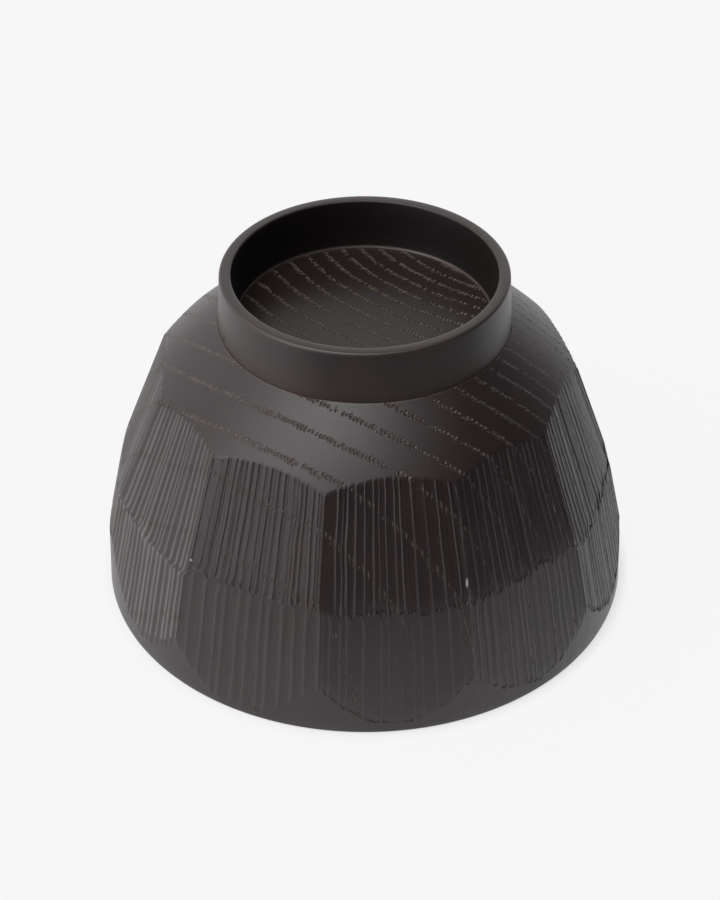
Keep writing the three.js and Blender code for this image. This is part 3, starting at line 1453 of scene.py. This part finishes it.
@dataclass(frozen=True)
class SmoothLacquer:
    """Smooth black-brown lacquer on close-grained wood.

    Places, heights and radii are in millimetres, and a noise is its scale, detail and roughness. A span is
    where something starts and ends, and a share is how strongly it shows.
    """

    name: str = "foot_wood_smooth_lacquer"
    deep: Colour = colour(0.0130, 0.0066, 0.0070)
    warm: Colour = colour(0.0240, 0.0108, 0.0100)
    shade: Colour = colour(0.0055, 0.0034, 0.0034)
    speck: Colour = colour(0.060, 0.034, 0.026)
    # Painted highlight colour for the ring's top edge.
    wear_and_highlight: Colour = colour(0.040, 0.028, 0.026)
    # Painted highlight colour along the fillet at the foot of the inner wall.
    bead: Colour = colour(0.050, 0.036, 0.031)
    gloss: Span = (0.36, 0.46)
    index: float = 1.56
    # Painted shade on the ring's inner wall: a dark, weakly reflecting shader mixed over it.
    wall_shade_rough: float = 0.6
    wall_shade_index: float = 1.3
    wall_shade_share: float = 0.85
    chip: Fleck = Fleck((-29.0, -10.4, 66.7), (0.9, 0.9, 0.9))
    chip_depth: float = 0.25
    cloud_noise: Place = (0.12, 3.0, 0.6)
    cloud_span: Span = (0.3, 0.75)
    cloud_share: float = 0.6
    turning_stretch: Place = (0.05, 0.05, 1.6)
    turning_noise: Place = (1.0, 2.0, 0.5)
    turning_height: float = 0.006
    grain_noise: Place = (1.4, 2.0, 0.5)
    grain_height: float = 0.004
    speck_noise: Span = (1.1, 0.0)
    speck_span: Span = (0.79, 0.83)
    speck_share: float = 0.5
    inner_wall: Span = (27.75, 28.15)
    warm_height: Span = (66.0, 75.0)
    warm_share: float = 0.6
    # Where the fillet's painted highlight ends.
    fillet_highlight_height: Span = (66.4, 66.8)
    # Where and how strongly the ring's top edge is painted paler as a highlight.
    top_highlight_height: Span = (76.2, 76.9)
    top_highlight_share: float = 0.55

    def material(self) -> bpy.types.Material:
        """Writes the finish.

        Returns:
            The new material.
        """
        made, graph = new_finish(self.name)
        place = graph.millimetres()
        x, y, z = graph.split(place)
        radius = (x * x + y * y).math("SQRT")
        cloud = graph.noise(place, *self.cloud_noise)
        turning = graph.stretched(place, self.turning_stretch, *self.turning_noise)
        # Painted shade mask: the ring's inner wall, inside the ring's hollow.
        inside = 1.0 - graph.ramp(radius, *self.inner_wall)
        low = 1.0 - graph.ramp(z, *self.warm_height)
        # Mask of the fillet at the foot of the inner wall, which carries the painted highlight.
        edge = 1.0 - graph.ramp(z, *self.fillet_highlight_height)
        dent = self.chip.mask(graph, place)
        specks = graph.ramp(graph.noise(place, *self.speck_noise), *self.speck_span)

        tint = graph.ramp(cloud, *self.cloud_span) * self.cloud_share + low * self.warm_share
        wood = graph.blend(tint, self.deep, self.warm)
        # Painted highlight: the ring's top edge is painted paler.
        wood = graph.blend(graph.ramp(z, *self.top_highlight_height) * self.top_highlight_share, wood, self.wear_and_highlight)
        # Painted shade on the inner wall; the same dark colour marks the chip.
        wood = graph.blend(inside.math("MAXIMUM", dent), wood, self.shade)
        # Painted highlight along the fillet at the foot of the inner wall.
        wood = graph.blend(inside * edge, wood, self.bead)
        wood = graph.blend(specks * self.speck_share, wood, self.speck)
        height = turning * self.turning_height + graph.noise(place, *self.grain_noise) * self.grain_height
        normal = graph.bump(height - dent * self.chip_depth)
        lacquer = graph.principled(wood, graph.between(cloud, *self.gloss), self.index, Normal=normal)
        # Painted shade: the dark, weakly reflecting shader over the inner wall, except its fillet.
        shaded_wall = graph.principled(self.shade, self.wall_shade_rough, self.wall_shade_index)
        graph.mixed(inside * (1.0 - edge) * self.wall_shade_share, lacquer, shaded_wall)
        return made


# Studio


@dataclass(frozen=True)
class Glow:
    """A soft patch of light in the studio round the bowl: where it is, how wide, and how bright."""

    azimuth: float
    elevation: float
    width: float
    strength: float

    def direction(self) -> Place:
        """The unit direction towards the patch."""
        a, e = math.radians(self.azimuth), math.radians(self.elevation)
        return math.sin(a) * math.cos(e), -math.cos(a) * math.cos(e), math.sin(e)


@dataclass
class Studio:
    """The pale floor, the soft light and the camera, in metres.

    Pale is how bright the floor and the background show, shine how bright the floor shows in gloss, and the
    shadow's shares are how much of the floor's own matte shows far from the rim and at its contact.
    """

    pale: float = 0.93
    matte: float = 0.80
    shine: float = 1.0
    shadow_share: float = 0.05
    contact_share: float = 0.3
    contact: Span = (0.0572, 0.0605)
    ambient: float = 0.035
    glows: tuple[Glow, ...] = (
        Glow(-36, 74, 15, 4.5),
        Glow(-60, 54, 15, 0.9),
        Glow(-58, 36, 15, 1.8),
        Glow(-60, 6, 15, 3.4),
        Glow(-120, 36, 15, 1.1),
        Glow(-120, 6, 15, 0.8),
        Glow(-150, 20, 15, 0.45),
        Glow(180, 6, 15, 2.1),
        Glow(150, 16, 12, 0.9),
        Glow(118, 12, 15, 0.15),
    )
    floor_size: float = 6.0
    near: Span = (0.078, 0.19)
    dim_side: Place = (0.45, -0.89, 0.0)
    dim_span: Span = (0.1, 0.6)
    dim: float = 0.1
    camera_place: Place = (0.0, -0.40870, 0.34111)
    camera_target: Place = (0.0, 0.0, 0.0305)
    sensor: float = 36.0
    lens: float = 93.33
    offset: float = -4.82 / 900
    clip: Span = (0.01, 50.0)

    def floor_glow(self, graph: Graph, place: Wire, far: Wire) -> Wire:
        """How bright the floor shows in gloss: pale round the bowl, and dim far off at the front right.

        Args:
            graph: The floor's graph.
            place: The point on the floor, in metres.
            far: How far it is from the bowl's axis, in metres.

        Returns:
            The floor's brightness.
        """
        way = graph.vector("NORMALIZE", place)
        side = graph.vector("DOT_PRODUCT", way, self.dim_side, result="Value")
        dimmed = graph.ramp(far, *self.near) * graph.ramp(side, *self.dim_span)
        return graph.between(dimmed, self.shine, self.dim)

    def floor(self) -> bpy.types.Object:
        """Lays the pale floor.

        Returns:
            The floor.
        """
        deselect_all()
        bpy.ops.mesh.primitive_plane_add(size=self.floor_size)
        made = bpy.context.object
        made.name = "floor"
        paint, graph = new_finish("pale_floor")
        place = graph.out(graph.node("ShaderNodeTexCoord"), "Object")
        far = graph.vector("LENGTH", place, result="Value")
        path = graph.node("ShaderNodeLightPath")
        camera, gloss, glass = (
            graph.out(path, name) for name in ("Is Camera Ray", "Is Glossy Ray", "Is Transmission Ray")
        )
        seen = camera.math("MAXIMUM", glass)
        matte = graph.node("ShaderNodeBsdfDiffuse", None, Color=colour(self.matte, self.matte, self.matte))
        level = seen * self.pale + gloss * self.floor_glow(graph, place, far)
        glow = graph.node("ShaderNodeEmission", None, Color=colour(1, 1, 1), Strength=level)
        close = 1.0 - graph.ramp(far, *self.contact)
        shadow = graph.between(close, self.shadow_share, self.contact_share)
        graph.mixed((seen * (1.0 - shadow)).math("MAXIMUM", gloss), matte, glow)
        made.data.materials.append(paint)
        return made

    def light(self) -> None:
        """Fills the world with soft patches of light and a pale background."""
        world = bpy.data.worlds.new("studio")
        bpy.context.scene.world = world
        world.use_nodes = True
        graph = Graph(world.node_tree)
        way = graph.out(graph.node("ShaderNodeTexCoord"), "Generated")
        level: Value = self.ambient
        for glow in self.glows:
            facing = graph.vector("DOT_PRODUCT", way, glow.direction(), result="Value")
            sharp = 1 / math.radians(glow.width) ** 2
            level = ((facing - 1.0) * sharp).math("EXPONENT") * glow.strength + level
        path = graph.node("ShaderNodeLightPath")
        camera = graph.out(path, "Is Camera Ray")
        strength = level * (1.0 - camera) + camera * self.pale
        back = graph.node("ShaderNodeBackground", None, Color=colour(1, 1, 1), Strength=strength)
        graph.node("ShaderNodeOutputWorld", None, Surface=graph.out(back))

    def camera(self) -> bpy.types.Object:
        """Sets the camera at the photograph's angle.

        Returns:
            The camera.
        """
        data = bpy.data.cameras.new("camera")
        data.sensor_width = self.sensor
        data.lens = self.lens
        data.shift_x = self.offset
        data.clip_start, data.clip_end = self.clip
        made = bpy.data.objects.new("camera", data)
        bpy.context.scene.collection.objects.link(made)
        look = Vector(self.camera_target) - Vector(self.camera_place)
        turn = look.to_track_quat("-Z", "Y").to_matrix().to_4x4()
        made.matrix_world = Matrix.Translation(Vector(self.camera_place)) @ turn
        bpy.context.scene.camera = made
        return made

    def build(self) -> None:
        """Sets up the whole studio."""
        self.floor()
        self.light()
        self.camera()
        bpy.context.scene.view_settings.view_transform = "Standard"


def write_sizes() -> None:
    """Brings the view layer up to date."""
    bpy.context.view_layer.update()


def main() -> None:
    """Builds the studio, the body and the foot ring, and reports each piece."""
    logging.basicConfig(level=logging.INFO, format="%(name)s: %(message)s")
    Studio().build()
    LOG.info("studio ready")
    carved = CarvedBody()
    body = carved.build()
    carved.dress(body, WipedLacquer())
    LOG.info("%s: %d faces", body.name, len(body.data.polygons))
    turned = FootRing()
    ring = turned.build()
    turned.dress(ring, SmoothLacquer())
    LOG.info("%s: %d faces", ring.name, len(ring.data.polygons))
    write_sizes()


if __name__ == "__main__":
    main()
